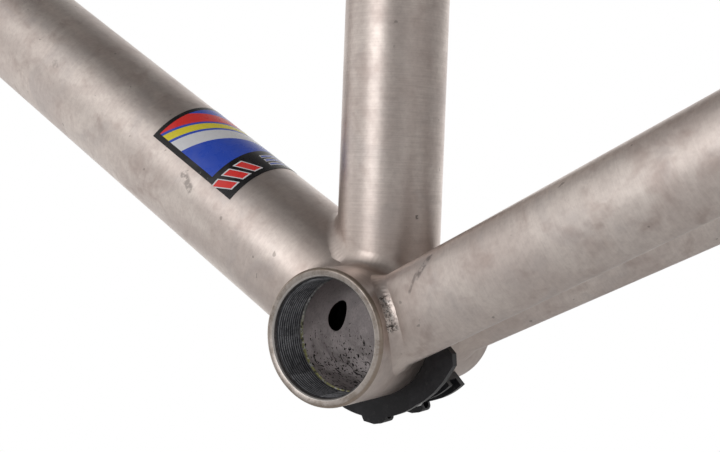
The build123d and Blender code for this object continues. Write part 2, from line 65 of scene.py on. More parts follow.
BEAD_SUNK, BEAD_ROOT, BEAD_CORE = 0.04, 0.7, 0.8


def flat(angle):
    """Unit vector in the frame's middle plane, at an angle above +X."""
    return np.array([math.cos(math.radians(angle)), 0.0, math.sin(math.radians(angle))])


def unit(v):
    return v / np.maximum(np.linalg.norm(v, axis=-1, keepdims=True), 1e-12)


ORIGIN = np.zeros(3)
LEFT = np.array([0.0, 1.0, 0.0])
SEAT_UP = flat(180 - SEAT_ANGLE)
SEAT_FRONT = flat(90 - SEAT_ANGLE)
DOWN_WAY = flat(DOWN_ANGLE)
DOWN_OVER = flat(DOWN_ANGLE + 90)
RISE, TOE = math.radians(STAY_RISE), math.radians(STAY_TOE)
STAY_WAY = np.array(
    [-math.cos(RISE) * math.cos(TOE), math.sin(TOE), math.sin(RISE) * math.cos(TOE)]
)
STAY_UP = np.array([math.sin(RISE), 0.0, math.cos(RISE)])
STAY_ROOT = np.array([0.0, STAY_Y, STAY_Z])
HEAD_TOP = np.array([390.0, 0.0, 575.0])
TOP_REAR = SEAT_UP * TOP_JOINS_SEAT
TOP_FRONT = HEAD_TOP - SEAT_UP * TOP_JOINS_HEAD
AXLE = np.array([-405.0, 0.0, 73.0])


# ---------------------------------------------------------------- node helpers
class Shade:
    """A material's node tree, with values in millimetres."""

    def __init__(self, name):
        self.mat = bpy.data.materials.new(name)
        self.mat.use_nodes = True
        self.tree = self.mat.node_tree
        self.shader = self.tree.nodes["Principled BSDF"]
        coord = self.tree.nodes.new("ShaderNodeTexCoord")
        self.place = self.vector("MULTIPLY", coord.outputs["Object"], (1000, 1000, 1000))
        self.bumps = None

    def put(self, socket, value):
        if isinstance(value, bpy.types.NodeSocket):
            self.tree.links.new(value, socket)
        elif isinstance(value, tuple) and len(value) == 3 and socket.type == "RGBA":
            socket.default_value = (*value, 1)
        else:
            socket.default_value = value

    def math(self, kind, a, b=0.0, c=0.0, clamp=False):
        node = self.tree.nodes.new("ShaderNodeMath")
        node.operation = kind
        node.use_clamp = clamp
        for socket, value in zip(node.inputs, (a, b, c)):
            self.put(socket, value)
        return node.outputs[0]

    def vector(self, kind, a, b=(0, 0, 0)):
        node = self.tree.nodes.new("ShaderNodeVectorMath")
        node.operation = kind
        self.put(node.inputs[0], a)
        self.put(node.inputs[1], b)
        return node.outputs["Value" if kind in ("DOT_PRODUCT", "LENGTH") else "Vector"]

    def along(self, axis, start=(0, 0, 0)):
        """Distance along an axis from a point."""
        away = self.vector("SUBTRACT", self.place, tuple(map(float, start)))
        return self.vector("DOT_PRODUCT", away, tuple(map(float, axis)))

    def join(self, x, y, z):
        node = self.tree.nodes.new("ShaderNodeCombineXYZ")
        for socket, value in zip(node.inputs, (x, y, z)):
            self.put(socket, value)
        return node.outputs[0]

    def noise(self, size, place=None, detail=2.0, rough=0.5, warp=0.0, offset=0.0):
        """Noise whose features are about size millimetres across, from 0 to 1."""
        node = self.tree.nodes.new("ShaderNodeTexNoise")
        place = self.place if place is None else place
        if offset:
            place = self.vector("ADD", place, (offset, offset, offset))
        self.put(node.inputs["Vector"], place)
        self.put(node.inputs["Scale"], 1.0 / size)
        self.put(node.inputs["Detail"], detail)
        self.put(node.inputs["Roughness"], rough)
        self.put(node.inputs["Distortion"], warp)
        return node.outputs[0]

    def step(self, value, low, high, from_value=0.0, to_value=1.0):
        """Smooth change from one value to another between two levels."""
        node = self.tree.nodes.new("ShaderNodeMapRange")
        node.interpolation_type = "SMOOTHSTEP"
        for name, v in (
            ("Value", value),
            ("From Min", low),
            ("From Max", high),
            ("To Min", from_value),
            ("To Max", to_value),
        ):
            self.put(node.inputs[name], v)
        return node.outputs[0]

    def mix(self, share, a, b, blend="MIX"):
        node = self.tree.nodes.new("ShaderNodeMix")
        node.data_type = "RGBA"
        node.blend_type = blend
        self.put(node.inputs[0], share)
        self.put(node.inputs[6], a)
        self.put(node.inputs[7], b)
        return node.outputs[2]

    def bump(self, height, distance, strength=1.0):
        """Height from 0 to 1 stands for a distance in millimetres. Bumps add up."""
        node = self.tree.nodes.new("ShaderNodeBump")
        self.put(node.inputs["Height"], height)
        node.inputs["Distance"].default_value = distance * MM
        node.inputs["Strength"].default_value = strength
        if self.bumps is not None:
            self.tree.links.new(self.bumps, node.inputs["Normal"])
        self.bumps = node.outputs[0]

    def done(self, colour, roughness, metallic=0.0, specular=0.5, coat=0.0):
        for name, value in (
            ("Base Color", colour),
            ("Roughness", roughness),
            ("Metallic", metallic),
            ("Specular IOR Level", specular),
            ("Coat Weight", coat),
        ):
            self.put(self.shader.inputs[name], value)
        if self.bumps is not None:
            self.tree.links.new(self.bumps, self.shader.inputs["Normal"])
        return self.mat

    def smudge(self, centre, way, length, width, edge=0.6):
        """1 on a mark along a line, fading out over its edge and at its ends."""
        away = self.vector("SUBTRACT", self.place, tuple(map(float, centre)))
        run = self.vector("DOT_PRODUCT", away, tuple(map(float, unit(np.array(way, float)))))
        far = self.vector("LENGTH", away)
        side = self.math(
            "SQRT",
            self.math(
                "MAXIMUM",
                self.math("SUBTRACT", self.math("POWER", far, 2), self.math("POWER", run, 2)),
                0.0,
            ),
        )
        ends = self.step(self.math("ABSOLUTE", run), length * 0.35, length * 0.5, 1.0, 0.0)
        across = self.step(side, width * (1 - edge), width, 1.0, 0.0)
        return self.math("MULTIPLY", ends, across)


TITANIUM = (0.705, 0.622, 0.580)
TITANIUM_PALE = (0.81, 0.73, 0.68)
TITANIUM_BROWN = (0.47, 0.370, 0.335)
TITANIUM_GREY = (0.57, 0.52, 0.505)


def titanium(name, axis, start=(0, 0, 0), brush=0.5, stain=0.5, marks=(), pitted=False):
    """Satin titanium tube: rings of fine brushing, stains from heat and handling, scuffs, painted shade
    round the shell.
    """
    s = Shade(name)
    axis = unit(np.array(axis, float))
    side = unit(np.cross(axis, LEFT + 0.01))
    over = np.cross(axis, side)
    run, u, v = s.along(axis, start), s.along(side, start), s.along(over, start)
    cloud = s.noise(26, detail=4, rough=0.62, warp=0.6)
    patch = s.noise(9, detail=3, rough=0.6, warp=0.4, offset=31)
    grain = s.noise(1.6, detail=4, rough=0.7, offset=57)
    rings = s.noise(
        1.0, s.join(s.math("MULTIPLY", run, 2.3), s.math("MULTIPLY", u, 0.09),
                    s.math("MULTIPLY", v, 0.09)), detail=4, rough=0.7
    )
    hair = s.noise(
        1.0, s.join(s.math("MULTIPLY", run, 0.12), s.math("MULTIPLY", u, 1.7),
                    s.math("MULTIPLY", v, 1.7)), detail=3, rough=0.6, offset=13
    )
    colour = s.mix(s.step(cloud, 0.42, 0.66), TITANIUM, TITANIUM_PALE)
    stains = s.math("MULTIPLY", s.step(patch, 0.48, 0.78), stain)
    colour = s.mix(stains, colour, TITANIUM_BROWN)
    cool = s.math("MULTIPLY", s.step(s.noise(17, detail=3, warp=0.8, offset=83), 0.5, 0.72), 0.5)
    colour = s.mix(cool, colour, TITANIUM_GREY)
    colour = s.mix(s.math("MULTIPLY", s.step(grain, 0.35, 0.75), 0.26), colour, (0.38, 0.31, 0.29))
    colour = s.mix(s.math("MULTIPLY", s.step(rings, 0.3, 0.7), 0.13 * brush + 0.07), colour,
                   (0.38, 0.32, 0.295))
    # painted shade: darker, browner colour round the shell's centre, fading out by 52 mm from it
    junction_shade = s.step(s.vector("LENGTH", s.place), 24.0, 52.0, 0.34, 0.0)
    colour = s.mix(junction_shade, colour, (0.50, 0.405, 0.355))
    nick = s.step(s.noise(3.1, detail=1, offset=140), 0.765, 0.79)
    colour = s.mix(s.math("MULTIPLY", nick, 0.5), colour, (0.2, 0.17, 0.15))
    dark = None
    for centre, way, length, width, depth in marks:
        spot = s.smudge(centre, way, length, width)
        spot = s.math("MULTIPLY", spot, s.step(s.noise(1.3, detail=3, offset=9), 0.36, 0.56, 0.15, 1))
        spot = s.math("MULTIPLY", spot, depth)
        dark = spot if dark is None else s.math("MAXIMUM", dark, spot)
    rough = s.math("ADD", 0.285, s.math("MULTIPLY", patch, 0.14))
    rough = s.math("ADD", rough, s.math("MULTIPLY", rings, 0.05))
    if dark is not None:
        colour = s.mix(dark, colour, (0.13, 0.115, 0.11))
        rough = s.math("ADD", rough, s.math("MULTIPLY", dark, 0.15))
    if pitted:
        zone = s.smudge((-18.8, 28.0, 2.2), (0.1, -0.15, 1.0), 12.0, 4.0, edge=0.6)
        fleck = s.noise(1.0, detail=3, warp=1.5, offset=71)
        pits = s.math("MULTIPLY", s.step(fleck, 0.52, 0.58), zone)
        # bright flecks on the weld: lower roughness, and a paler colour that is a painted glint
        painted_glint = s.math("MULTIPLY", s.step(s.noise(1.4, detail=2, offset=5), 0.5, 0.6), zone)
        colour = s.mix(s.math("MULTIPLY", painted_glint, 0.6), colour, (0.90, 0.86, 0.83))
        colour = s.mix(pits, colour, (0.05, 0.045, 0.04))
        rough = s.math("SUBTRACT", rough, s.math("MULTIPLY", painted_glint, 0.1))
        s.bump(s.math("SUBTRACT", 1.0, pits), 0.15)
    s.bump(rings, 0.012 * brush)
    s.bump(hair, 0.008)
    s.bump(grain, 0.010)
    s.bump(cloud, 0.10)
    if dark is not None:
        s.bump(s.math("SUBTRACT", 1.0, dark), 0.04)
    return s.done(colour, rough, metallic=1.0)


def weld_metal(name):
    """Bare weld: a little shinier than the tubes, with straw tints."""
    s = Shade(name)
    cloud = s.noise(6, detail=3, warp=0.5)
    fine = s.noise(0.9, detail=3, offset=20)
    colour = s.mix(s.step(cloud, 0.35, 0.7), (0.60, 0.525, 0.47), (0.70, 0.64, 0.59))
    colour = s.mix(s.math("MULTIPLY", s.step(fine, 0.4, 0.7), 0.3), colour, (0.40, 0.34, 0.29))
    s.bump(fine, 0.02)
    return s.done(colour, s.math("ADD", 0.27, s.math("MULTIPLY", fine, 0.14)), metallic=1.0)


def machined(name):
    """Faced mouth of the shell: fine turning rings, wiped edges, a painted highlight round the edge of
    the bore.
    """
    s = Shade(name)
    x, z = s.along((1, 0, 0)), s.along((0, 0, 1))
    radius = s.math("SQRT", s.math("ADD", s.math("POWER", x, 2), s.math("POWER", z, 2)))
    rings = s.noise(0.22, s.join(radius, 0.0, 0.0), detail=2)
    wear = s.noise(3.5, detail=4, rough=0.7)
    colour = s.mix(s.step(wear, 0.4, 0.66), (0.44, 0.395, 0.365), (0.27, 0.23, 0.20))
    edge = s.step(radius, 19.0, 19.5)
    colour = s.mix(s.math("MULTIPLY", edge, 0.7), colour, (0.40, 0.315, 0.25))
    # painted highlight: a pale ring where the mouth face turns into the bore's chamfer
    rim_highlight = s.step(radius, MOUTH_R - 0.1, MOUTH_R + 0.25, 1.0, 0.0)
    colour = s.mix(s.math("MULTIPLY", rim_highlight, 0.5), colour, (0.80, 0.78, 0.76))
    dirt = s.step(s.noise(0.9, detail=4, rough=0.7, offset=4), 0.60, 0.68)
    colour = s.mix(s.math("MULTIPLY", dirt, 0.55), colour, (0.16, 0.13, 0.11))
    s.bump(rings, 0.02)
    s.bump(wear, 0.03)
    return s.done(colour, s.math("ADD", 0.25, s.math("MULTIPLY", wear, 0.16)), metallic=1.0)


def thread_metal(name):
    """Cut threads, painted dark for the shade inside the bore as well as old grease, darkest between
    lighter crests.
    """
    s = Shade(name)
    x, z = s.along((1, 0, 0)), s.along((0, 0, 1))
    radius = s.math("SQRT", s.math("ADD", s.math("POWER", x, 2), s.math("POWER", z, 2)))
    crest = s.step(radius, BORE_R + 0.06, BORE_R + 0.2, 1.0, 0.0)
    plain = s.step(radius, BORE_R + 0.34, BORE_R + 0.36)
    plain = s.math("MULTIPLY", plain, s.step(s.math("ABSOLUTE", s.along((0, 1, 0))), 32.2, 32.4))
    wear = s.noise(2.2, detail=4, rough=0.7)
    grime = s.noise(0.7, detail=3, offset=18)
    # painted shade and old grease: the grooves, and the whole thread, far darker than the tubes'
    # titanium
    groove_shade_and_grease = s.mix(s.step(wear, 0.4, 0.65), (0.04, 0.041, 0.047), (0.085, 0.086, 0.096))
    colour = s.mix(s.math("MULTIPLY", crest, s.step(wear, 0.3, 0.6, 0.45, 1.0)), groove_shade_and_grease,
                   (0.37, 0.375, 0.395))
    colour = s.mix(plain, colour, (0.26, 0.25, 0.25))
    colour = s.mix(s.math("MULTIPLY", s.step(grime, 0.6, 0.68), 0.6), colour, (0.05, 0.05, 0.055))
    rough = s.math("ADD", 0.34, s.math("MULTIPLY", grime, 0.2))
    s.bump(grime, 0.03)
    return s.done(colour, rough, metallic=0.9)


def bore_metal(name):
    """Dull inside of the shell with black dirt, thickest low down."""
    s = Shade(name)
    low = s.step(s.along((0.15, 0.1, -1)), -8.0, 13.0)
    deep = s.step(s.along((0, 1, 0)), -30.0, -6.0, 0.35, 1.0)
    cloud = s.noise(7, detail=4, rough=0.6, warp=0.5)
    fine = s.noise(0.8, detail=3, offset=40)
    colour = s.mix(s.step(cloud, 0.35, 0.7), (0.55, 0.495, 0.50), (0.42, 0.375, 0.385))
    colour = s.mix(s.math("MULTIPLY", s.step(fine, 0.45, 0.65), 0.25), colour, (0.2, 0.18, 0.18))
    crowd = s.math("MULTIPLY", s.math("MULTIPLY", low, deep), 0.13)
    level = s.math("SUBTRACT", 0.745, crowd)
    dust = s.noise(0.95, detail=2, offset=63)
    clump = s.noise(2.3, detail=3, warp=1.2, offset=97)
    specks = s.step(s.math("SUBTRACT", dust, level), -0.02, 0.02)
    clots = s.step(s.math("SUBTRACT", clump, s.math("SUBTRACT", level, 0.012)), -0.015, 0.015)
    dirt = s.math("MAXIMUM", specks, clots)
    colour = s.mix(s.math("MULTIPLY", s.math("MULTIPLY", low, s.step(cloud, 0.4, 0.6)), 0.35),
                   colour, (0.13, 0.11, 0.09))
    colour = s.mix(dirt, colour, (0.025, 0.02, 0.018))
    rough = s.math("ADD", 0.42, s.math("MULTIPLY", dirt, 0.3))
    s.bump(fine, 0.03)
    s.bump(dirt, 0.15)
    return s.done(colour, rough, metallic=0.85)


def residue_metal(name):
    """End of the thread: a bright shoulder with dried yellow-green grease low down."""
    s = Shade(name)
    low = s.step(s.along((0.75, 0, -0.66)), 2.0, 13.0)
    crumbs = s.noise(0.9, detail=4, rough=0.7)
    colour = s.mix(s.step(crumbs, 0.4, 0.62), (0.34, 0.34, 0.35), (0.72, 0.71, 0.70))
    grease = s.math("MULTIPLY", low, s.step(s.noise(1.5, detail=3, offset=22), 0.34, 0.48))
    colour = s.mix(grease, colour, (0.60, 0.59, 0.27))
    white = s.math("MULTIPLY", low, s.step(s.noise(0.8, detail=2, offset=35), 0.52, 0.58))
    colour = s.mix(white, colour, (0.9, 0.9, 0.86))
    dark = s.step(s.noise(1.1, detail=3, offset=44), 0.56, 0.64)
    colour = s.mix(s.math("MULTIPLY", dark, 0.8), colour, (0.04, 0.04, 0.035))
    s.bump(crumbs, 0.25)
    metal = s.math("SUBTRACT", 0.9, s.math("MULTIPLY", grease, 0.8))
    return s.done(colour, s.math("ADD", 0.3, s.math("MULTIPLY", grease, 0.3)), metallic=metal)


def plastic(name, colour=(0.012, 0.012, 0.0145)):
    """Moulded black plastic: fine spark-eroded grain, dust and rubbed patches."""
    s = Shade(name)
    grain = s.noise(0.35, detail=2)
    dust = s.noise(5, detail=4, rough=0.6, warp=0.4)
    rub = s.noise(2.2, detail=4, rough=0.65, offset=12)
    pale = tuple(c * 1.6 + 0.003 for c in colour)
    shade = s.mix(s.step(dust, 0.42, 0.7), colour, pale)
    shade = s.mix(s.math("MULTIPLY", s.step(rub, 0.58, 0.7), 0.5), shade, (0.045, 0.044, 0.043))
    s.bump(grain, 0.03)
    s.bump(dust, 0.05)
    return s.done(shade, s.math("ADD", 0.26, s.math("MULTIPLY", dust, 0.2)), specular=0.3)


def plain_metal(name, colour, rough, axis=(0, 0, 1)):
    """Turned or cast small metal part: faint tool lines, handling marks, dulled patches."""
    s = Shade(name)
    run = s.along(unit(np.array(axis, float)))
    lines = s.noise(0.3, s.join(run, 0.0, 0.0), detail=2)
    wear = s.noise(4, detail=4, rough=0.65, warp=0.3)
    fine = s.noise(0.9, detail=3, offset=8)
    dull = tuple(c * 0.68 for c in colour)
    shade = s.mix(s.step(wear, 0.4, 0.68), colour, dull)
    shade = s.mix(s.math("MULTIPLY", s.step(fine, 0.62, 0.7), 0.4), shade, (0.15, 0.14, 0.13))
    s.bump(lines, 0.012)
    s.bump(fine, 0.01)
    return s.done(shade, s.math("ADD", rough - 0.06, s.math("MULTIPLY", wear, 0.14)), metallic=1.0)


def decal_film(name):
    """Printed film: black border, blue panel with slanting bars, end strip of blocks and short lines."""
    s = Shade(name)
    run = s.along(DOWN_WAY)
    over, across = s.along(DOWN_OVER), s.along((0, 1, 0))
    angle = s.math("ARCTAN2", over, across)
    arc = s.math("MULTIPLY", s.math("SUBTRACT", angle, math.radians(23.0)), DOWN_R)
    length = math.radians(134.0) * DOWN_R
    black, blue = (0.010, 0.010, 0.012), (0.038, 0.105, 0.66)
    white, red, yellow = (0.88, 0.89, 0.93), (0.95, 0.050, 0.045), (0.98, 0.84, 0.060)

    def band(value, low, high):
        return s.math(
            "MULTIPLY", s.math("GREATER_THAN", value, low), s.math("LESS_THAN", value, high)
        )

    def box(a0, a1, r0, r1):
        return s.math("MULTIPLY", band(arc, a0, a1), band(run, r0, r1))

    colour = s.mix(box(2.0, length - 2.0, 71.2, 98.4), black, blue)
    panel = box(2.0, length - 2.0, 71.2, 98.4)
    slant = s.math("ADD", run, s.math("MULTIPLY", arc, 0.42))
    for low, high, tone in ((88.0, 93.5, white), (94.6, 97.8, yellow), (98.9, 104.4, red)):
        colour = s.mix(s.math("MULTIPLY", panel, band(slant, low, high)), colour, tone)
    lean = s.math("ADD", arc, s.math("MULTIPLY", s.math("SUBTRACT", run, 61.0), 0.55))
    strip = band(run, 62.4, 69.2)
    for low in (4.0, 9.0, 14.0):
        edge = s.math("MULTIPLY", strip, band(lean, low - 0.4, low + 3.2))
        colour = s.mix(edge, colour, white)
        core = s.math("MULTIPLY", band(run, 62.9, 68.7), band(lean, low, low + 2.8))
        colour = s.mix(core, colour, red)
    for row in (62.9, 65.2, 67.5):
        colour = s.mix(box(20.0, 42.0, row - 0.35, row + 1.15), colour, white)
        colour = s.mix(box(20.4, 42.0, row, row + 0.8), colour, blue)
    fade = s.noise(5, detail=3)
    colour = s.mix(s.math("MULTIPLY", s.step(fade, 0.45, 0.75), 0.07), colour, (0.5, 0.5, 0.5))
    scuff = s.step(s.noise(1.6, detail=4, rough=0.7, offset=3), 0.66, 0.72)
    colour = s.mix(s.math("MULTIPLY", scuff, 0.3), colour, (0.45, 0.43, 0.42))
    s.bump(fade, 0.02)
    return s.done(colour, s.math("ADD", 0.2, s.math("MULTIPLY", fade, 0.16)), specular=0.35)


# ---------------------------------------------------------------- mesh helpers
def mesh_object(name, points, faces, materials, indices=None, sharp=None):
    """Object from points in mm and quads. Sharp is an angle in degrees."""
    data = bpy.data.meshes.new(name)
    data.from_pydata((np.asarray(points) * MM).tolist(), [], faces)
    for mat in materials:
        data.materials.append(mat)
    if indices is not None:
        data.polygons.foreach_set("material_index", np.asarray(indices, np.int32))
    data.polygons.foreach_set("use_smooth", np.ones(len(faces), bool))
    if sharp is not None:
        data.set_sharp_from_angle(angle=math.radians(sharp))
    data.update()
    obj = bpy.data.objects.new(name, data)
    bpy.context.scene.collection.objects.link(obj)
    return obj


def ring_faces(rows, columns):
    """Quads of a torus-like grid that closes both ways."""
    r, c = np.meshgrid(np.arange(rows), np.arange(columns), indexing="ij")
    r2, c2 = (r + 1) % rows, (c + 1) % columns
    quads = np.stack([r * columns + c, r * columns + c2, r2 * columns + c2, r2 * columns + c], -1)
    return quads.reshape(-1, 4).tolist()


def sliced(obj, cutters):
    """Cuts rods out of an object for good."""
    for cutter in cutters:
        cut = obj.modifiers.new("cut", "BOOLEAN")
        cut.operation, cut.solver, cut.object = "DIFFERENCE", "EXACT", cutter
    bpy.context.view_layer.update()
    graph = bpy.context.evaluated_depsgraph_get()
    data = bpy.data.meshes.new_from_object(obj.evaluated_get(graph))
    obj.modifiers.clear()
    old = obj.data
    obj.data = data
    data.name = old.name
    bpy.data.meshes.remove(old)
    for cutter in cutters:
        bpy.data.objects.remove(cutter)


def rod(start, end, radius, count=64):
    """Closed round bar between two points, in mm."""
    start, end = np.array(start, float), np.array(end, float)
    way = unit(end - start)
    side = unit(np.cross(way, [0.31, 0.94, 0.17]))
    over = np.cross(way, side)
    turn = np.linspace(0, 2 * math.pi, count, endpoint=False)[:, None]
    circle = radius * (np.cos(turn) * side + np.sin(turn) * over)
    points = np.concatenate([start + circle, end + circle])
    faces = [[i, (i + 1) % count, count + (i + 1) % count, count + i] for i in range(count)]
    faces += [list(range(count))[::-1], list(range(count, 2 * count))]
    return mesh_object("rod", points, faces, [])


# ---------------------------------------------------------------- bottom bracket shell
def thread_rows():
    """(inset from the mouth, radius, share of thread depth, material) down one end's bore."""
    rows = [(0.0, 19.1, 0, 1), (0.0, MOUTH_R + 0.05, 0, 1), (0.12, MOUTH_R - 0.12, 0, 1)]
    rows += [(0.42, BORE_R + 0.5, 0, 1), (0.5, BORE_R + 0.44, 0, 2), (1.5, BORE_R + 0.4, 0, 2)]
    for inset in np.arange(1.62, THREAD_LENGTH, THREAD_PITCH / 9):
        rise = min(1.0, (THREAD_LENGTH + 0.1 - inset) / 0.9)
        rows.append((inset, BORE_R, max(0.0, rise), 2))
    rows += [
        (THREAD_LENGTH + 0.15, BORE_R + 0.02, 0, 2),
        (THREAD_LENGTH + 0.3, BORE_R + 0.42, 0, 2),
        (THREAD_LENGTH + 0.95, BORE_R + 0.42, 0, 3),
        (THREAD_LENGTH + 1.25, BORE_R + 0.05, 0, 3),
        (THREAD_LENGTH + 1.5, BORE_R - 0.02, 0, 3),
        (THREAD_LENGTH + 1.9, BORE_R, 0, 4),
    ]
    return rows


def build_shell(outer, mats):
    """Turned shell with a real helical thread in both ends, a vent and a screw hole."""
    columns = 288
    turn = np.linspace(0, 2 * math.pi, columns, endpoint=False)
    rows = thread_rows()
    profile = [(SHELL_HALF - inset, r, depth, mat) for inset, r, depth, mat in rows]
    middle = np.linspace(profile[-1][0], -profile[-1][0], 24)[1:-1]
    profile += [(y, BORE_R, 0, 4) for y in middle]
    profile += [(inset - SHELL_HALF, r, depth, mat) for inset, r, depth, mat in rows[::-1]]
    edge = [(0.0, 19.15), (0.1, 19.35), (0.4, 19.72), (0.75, 19.93), (1.05, SHELL_R)]
    profile += [(inset - SHELL_HALF, r, 0, int(r < SHELL_R)) for inset, r in edge]
    profile += [(y, SHELL_R, 0, 0) for y in np.linspace(-32, 32, 24)]
    profile += [(SHELL_HALF - inset, r, 0, int(r < SHELL_R)) for inset, r in edge[::-1]]
    points, kinds = [], []
    for y, radius, depth, kind in profile:
        inset = SHELL_HALF - abs(y)
        phase = (inset / THREAD_PITCH - turn / (2 * math.pi)) % 1.0
        vee = np.clip(1.25 * (1 - np.abs(2 * phase - 1)) - 0.12, 0, 1)
        r = radius + THREAD_DEPTH * depth * vee
        points.append(np.stack([r * np.cos(turn), np.full(columns, y), r * np.sin(turn)], 1))
        kinds.append(kind)
    faces = ring_faces(len(profile), columns)
    indices = []
    for row in range(len(profile)):
        after = kinds[(row + 1) % len(profile)]
        indices += [max(kinds[row], after) if 0 in (kinds[row], after) else after] * columns
    shell = mesh_object("shell", np.concatenate(points), faces, mats, indices, sharp=50)
    vent = np.array([0, VENT_Y, 0])
    screw = np.array([0, SCREW_Y, 0])
    cutters = [
        rod(vent + flat(VENT_ANGLE) * 8, vent + flat(VENT_ANGLE) * 26, VENT_R),
        rod(screw - [0, 0, 8.0], screw - [0, 0, 26.0], SCREW_HOLE_R),
    ]
    for cutter in cutters:
        # black walls for the vent and screw holes: painted shade
        cutter.data.materials.append(mats[5])
    sliced(shell, cutters)
    shell.data.set_sharp_from_angle(angle=math.radians(50))
    return shell


# ---------------------------------------------------------------- welds
def cylinder(start, way, radius):
    """Distance function of an endless round bar."""
    def distance(p):
        away = p - start
        return np.linalg.norm(away - (away @ way)[..., None] * way, axis=-1) - radius
    return distance


def oval(start, way, up, side, a, b):
    """Distance-like function of an oval bar."""
    def distance(p):
        away = p - start
        scaled = np.hypot(away @ up / a, away @ side / b)
        return (scaled - 1) * (a * b) / np.hypot(b * (away @ up) / a, a * (away @ side) / b) * scaled
    return distance


def either(*parts):
    def distance(p):
        return np.min([part(p) for part in parts], axis=0)
    return distance


def slope(distance, p):
    """Gradient of a distance function."""
    h = 0.02
    return np.stack(
        [(distance(p + h * e) - distance(p - h * e)) / (2 * h) for e in np.eye(3)], -1
    )


def settle(distance, p, level=0.0):
    """Moves points onto the surface at a level of a distance function."""
    for _ in range(5):
        g = slope(distance, p)
        size = np.maximum((g * g).sum(-1, keepdims=True), 1e-9)
        p = p - (distance(p) - level)[..., None] * g / size
    return p


def smooth_loop(p, count):
    """Rolling average round a closed loop."""
    for _ in range(count):
        p = (np.roll(p, 1, 0) + 2 * p + np.roll(p, -1, 0)) / 4
    return p


def even_loop(loop, spacing):
    """Resamples a closed loop at even spacing."""
    gaps = np.linalg.norm(np.roll(loop, -1, 0) - loop, axis=1)
    at = np.concatenate([[0], np.cumsum(gaps)])
    count = max(48, int(at[-1] / spacing))
    want = np.linspace(0, at[-1], count, endpoint=False)
    closed = np.concatenate([loop, loop[:1]])
    return np.stack([np.interp(want, at, closed[:, k]) for k in range(3)], 1)


def bead(name, tube, start, way, up, side, a, b, other, mats, **style):
    """Weld bead round the seam between a tube and what it is welded to, as a closed ring.

    The tube's surface runs from start along way, with half sizes a along up and b along side.
    Style holds sizes in mm: width and foot are its reach up the tube and over the other part.
    """
    width = style.get("width", 3.0)
    foot = style.get("foot", width)
    lift = style.get("lift", 0.0)
    ripple = style.get("ripple", 0.1)
    pitch = style.get("pitch", 1.25)
    reach = style.get("reach", 70.0)
    first = style.get("first", 0.0)
    fine = style.get("fine", 0.22)
    turn = np.linspace(0, 2 * math.pi, 720, endpoint=False)[:, None]
    ring = start + a * np.cos(turn) * up + b * np.sin(turn) * side
    run = np.arange(reach, first - 0.01, -0.4)
    values = other(ring[:, None, :] + run[None, :, None] * way)
    inside = values < 0
    hit = np.where(inside.any(1), inside.argmax(1), values.argmin(1))
    before = np.maximum(hit - 1, 0)
    rows = np.arange(len(turn))
    v1, v0 = values[rows, hit], values[rows, before]
    share = np.where((v1 < 0) & (v0 > 0), v0 / np.maximum(v0 - v1, 1e-9), 1.0)
    seam_run = run[before] + share * (run[hit] - run[before])
    seam = smooth_loop(ring + seam_run[:, None] * way, style.get("ease", 3))
    seam = even_loop(seam, fine)
    n1, n2 = unit(slope(tube, seam)), unit(slope(other, seam))
    lead = way - (n1 @ way)[:, None] * n1
    rest = way - (n2 @ way)[:, None] * n2
    t1 = unit(n2 - (n1 * n2).sum(1, keepdims=True) * n1 + 0.12 * lead)
    t2 = unit(n1 - (n1 * n2).sum(1, keepdims=True) * n2 - 0.12 * rest)
    soft = style.get("soft", 6)
    t1, t2 = unit(smooth_loop(t1, soft)), unit(smooth_loop(t2, soft))
    top = settle(tube, seam + width * t1, -BEAD_SUNK)
    low = settle(other, seam + foot * t2, -BEAD_SUNK)
    top, low = smooth_loop(top, 4), smooth_loop(low, 4)
    bisector = unit(n1 + n2)
    crown = seam + lift * bisector
    at = np.arange(len(seam)) * fine
    shares = np.linspace(0, 1, 13)
    total = len(seam) * fine
    waves = max(1, round(total / pitch))
    section = []
    for share in shares:
        point = (1 - share) ** 2 * top + 2 * share * (1 - share) * crown + share**2 * low
        out = unit((1 - share) * n1 + share * n2)
        shift = 0.9 * (2 * share - 1) ** 2
        wobble = 0.35 * np.sin(at / total * 2 * math.pi * 7 + 1.3)
        wave = 0.5 + 0.5 * np.cos(2 * math.pi * (waves * at / total - shift) + wobble)
        height = ripple * wave**1.5 * math.sin(math.pi * share) ** 0.7
        section.append(point + height[:, None] * out)
    section.append(low - BEAD_ROOT * n2)
    section.append(seam - BEAD_CORE * bisector)
    section.append(top - BEAD_ROOT * n1)
    grid = np.stack(section, 1)
    count, across = grid.shape[:2]
    faces = ring_faces(count, across)
    points = grid.reshape(-1, 3)
    obj = mesh_object(name, points, faces, mats, sharp=55)
    corners = points[np.array(faces[: across * 4])]
    normal = np.cross(corners[:, 1] - corners[:, 0], corners[:, 2] - corners[:, 0])
    middle = np.repeat(grid.mean(1)[:4], across, 0)
    if ((corners.mean(1) - middle) * normal).sum() < 0:
        obj.data.flip_normals()
    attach(obj, "frame")
    return obj


def round_bead(name, start, way, radius, other, mats, **style):
    """Weld bead for a round tube."""
    way = unit(np.array(way, float))
    side = unit(np.cross(way, LEFT)) if abs(way @ LEFT) < 0.9 else unit(np.cross(way, SEAT_UP))
    up = np.cross(side, way)
    tube = cylinder(np.array(start, float), way, radius)
    return bead(name, tube, np.array(start, float), way, up, side, radius, radius, other, mats,
                **style)


def mirrored(v):
    return np.array([v[0], -v[1], v[2]])


